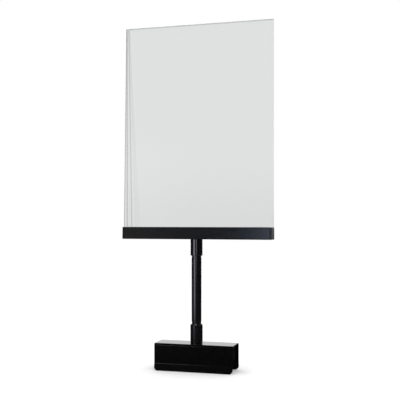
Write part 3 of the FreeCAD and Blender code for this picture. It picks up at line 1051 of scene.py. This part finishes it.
# What a polished black surface mirrors: a bright wall behind, above the table, and one window in front.
DARK = 0.035
BACK_WALL = 1.4
WINDOW = 0.42
wall_height = calc("MULTIPLY", ease_between(elevation, -0.5, 3.0, 0.0, 1.0),
                   ease_between(elevation, 18.0, 34.0, 1.0, 0.0))
wall = calc("MULTIPLY", ease_between(off_front, 115.0, 140.0, 0.0, BACK_WALL), wall_height)
window_sides = calc("MULTIPLY", ease_between(azimuth, -36.0, -27.0, 0.0, 1.0),
                    ease_between(azimuth, -20.5, -15.5, 1.0, 0.0))
window_height = calc("MULTIPLY", ease_between(elevation, -6.5, -1.5, 0.0, 1.0),
                     ease_between(elevation, 6.0, 11.0, 1.0, 0.0))
window = calc("MULTIPLY", calc("MULTIPLY", window_sides, window_height), WINDOW)

# A pale table below and a pale ring above, with a dark gap in front of the main view.
TABLE = 0.9
RING = 0.7
gap = calc("MULTIPLY", ease_between(parts.outputs["X"], -0.5, -0.4, 0.0, 1.0),
           ease_between(parts.outputs["X"], -0.14, -0.04, 1.0, 0.0))
gap = calc("MULTIPLY", gap, ease_between(parts.outputs["Y"], -0.1, 0.1, 1.0, 0.0))
ring_height = calc("MULTIPLY", ease_between(elevation, 14.0, 26.0, 0.0, RING),
                   ease_between(elevation, 45.0, 65.0, 1.0, 0.0))
table_height = ease_between(elevation, -24.0, -14.0, TABLE, 0.0)
from_right = calc("MULTIPLY_ADD", parts.outputs["X"], 0.35, 0.65)
pale = calc("MULTIPLY", calc("ADD", ring_height, table_height), from_right)
pale = calc("MULTIPLY", pale, calc("SUBTRACT", 1.0, gap))
mirrored = calc("ADD", calc("ADD", calc("ADD", wall, window), pale), DARK)

# What shows through the clear sheet: grey-white all round, darker straight to the sides and overhead.
CLEAR = 0.81
OVERHEAD = 0.0
aside = calc("MULTIPLY", ease_between(off_front, 62.0, 82.0, 0.0, 0.6),
             ease_between(off_front, 98.0, 118.0, 1.0, 0.0))
low_haze = ease_between(elevation, -1.0, 5.0, 0.93, 1.0)
seen_through = calc("MULTIPLY", calc("MULTIPLY", calc("SUBTRACT", 1.0, aside), low_haze),
                    ease_between(elevation, 17.0, 32.0, CLEAR, OVERHEAD))
soft = ease_between(elevation, -5.0, 5.0, 0.2, 1.12)
path = sky.nodes.new("ShaderNodeLightPath").outputs
passes = path["Is Transmission Ray"]
bounces = calc("SUBTRACT", path["Is Glossy Ray"], passes, use_clamp=True)
choice = calc("ADD", calc("MULTIPLY", mirrored, bounces), calc("MULTIPLY", seen_through, passes))
choice = calc("ADD", choice, calc("MULTIPLY", soft, path["Is Diffuse Ray"]))
strength = calc("MAXIMUM", choice, path["Is Camera Ray"])
background = sky.nodes.new("ShaderNodeBackground")
background.inputs["Color"].default_value = (1.0, 1.0, 1.0, 1.0)
sky.links.new(strength, background.inputs["Strength"])
output = sky.nodes.new("ShaderNodeOutputWorld")
sky.links.new(background.outputs[0], output.inputs["Surface"])

# %% [markdown]
# Seven soft lamps do the rest. One hangs overhead and lights everything. Two strips in front and one behind
# draw bright lines down the round stem, which is how a round black part is made to look round. Three small
# glows pick out the bar, the saddle and the foot collar. All but the overhead lamp reach only their own
# pieces, and none of those six can be seen through the clear sheet.

# %% Lamps
def softbox(name, azimuth, elevation, distance, width, height, radiance, aim):
    """A soft rectangular lamp that faces a point, placed by azimuth and elevation round it."""
    lamp = bpy.data.lights.new(name, "AREA")
    lamp.shape = "RECTANGLE"
    lamp.size, lamp.size_y = width, height
    lamp.energy = radiance * math.pi * width * height
    box = bpy.data.objects.new(name, lamp)
    a, e = math.radians(azimuth), math.radians(elevation)
    away = Vector((math.sin(a) * math.cos(e), -math.cos(a) * math.cos(e), math.sin(e)))
    box.location = Vector(aim) + away * distance
    box.rotation_mode = "QUATERNION"
    box.rotation_quaternion = away.to_track_quat("Z", "Y")
    box.visible_camera = False
    bpy.context.scene.collection.objects.link(box)
    return box


overhead = softbox("overhead", 0, 84, 1.9, 1.8, 1.8, 0.8, (0, 0, 0))
overhead.visible_glossy = False
left_strip = softbox("left_strip", -31.5, 0, 2.2, 1.45, 1.3, 3.2, (0, 0, 0.46))
right_strip = softbox("right_strip", 13.5, 0, 2.2, 0.5, 0.9, 3.2, (0, 0, 0.5))
for strip_lamp in (left_strip, right_strip):
    strip_lamp.data.color = (0.93, 0.94, 1.08)
back_strip = softbox("back_strip", 196, 0, 2.2, 0.5, 1.2, 3.0, (0, 0, 0.2))
bar_glow = softbox("bar_glow", 2.2, 0, 2.2, 0.8, 0.55, 3.0, (0, 0, 0.24))
bar_glow.data.color = (0.74, 0.9, 1.18)
foot_glow = softbox("foot_glow", -22, 3.0, 2.2, 0.46, 0.2, 7.0, (0, 0, 0.02))
collar_glow = softbox("collar_glow", -34, 80, 1.4, 0.4, 0.4, 3.0, (0, 0, 0.06))


def shine_on(lamps, pieces):
    """Lets lamps reach only these pieces, as a photographer does with a flag."""
    for lamp in lamps:
        group = bpy.data.collections.new(lamp.name + "_pieces")
        for piece in pieces:
            group.objects.link(piece)
        lamp.light_linking.receiver_collection = group
        lamp.visible_transmission = False


shine_on([left_strip, right_strip, back_strip], [foot_collar, tube, head_collar])
shine_on([bar_glow], [sign_bar, cap_left, cap_right])
shine_on([foot_glow], [saddle_sheet])
shine_on([collar_glow], [foot_collar])

# %% [markdown]
# ## Camera
# The camera looks level at the stand from a little to the right of its front. It is set by plain measures:
# how far it is from the stem's axis, how high it is above the floor, and which way it turns. A lens shift,
# not a tilt, brings the whole stand into the frame, so upright edges stay upright.

# %% Camera
CAMERA_DISTANCE = 1.1035
CAMERA_HEIGHT = 0.2103
CAMERA_TURN = 16.25
LENS = 70.76
SENSOR = 36.0
SHIFT_RIGHT = 0.00865
SHIFT_UP = 0.0502
camera_data = bpy.data.cameras.new("camera")
camera_data.lens = LENS
camera_data.sensor_width = SENSOR
camera_data.shift_x = SHIFT_RIGHT
camera_data.shift_y = SHIFT_UP
camera = bpy.data.objects.new("camera", camera_data)
turn = math.radians(CAMERA_TURN)
camera.location = (CAMERA_DISTANCE * math.sin(turn), -CAMERA_DISTANCE * math.cos(turn), CAMERA_HEIGHT)
camera.rotation_euler = (math.pi / 2, 0.0, turn)
bpy.context.scene.collection.objects.link(camera)
bpy.context.scene.camera = camera
bpy.context.scene.view_settings.view_transform = "Standard"
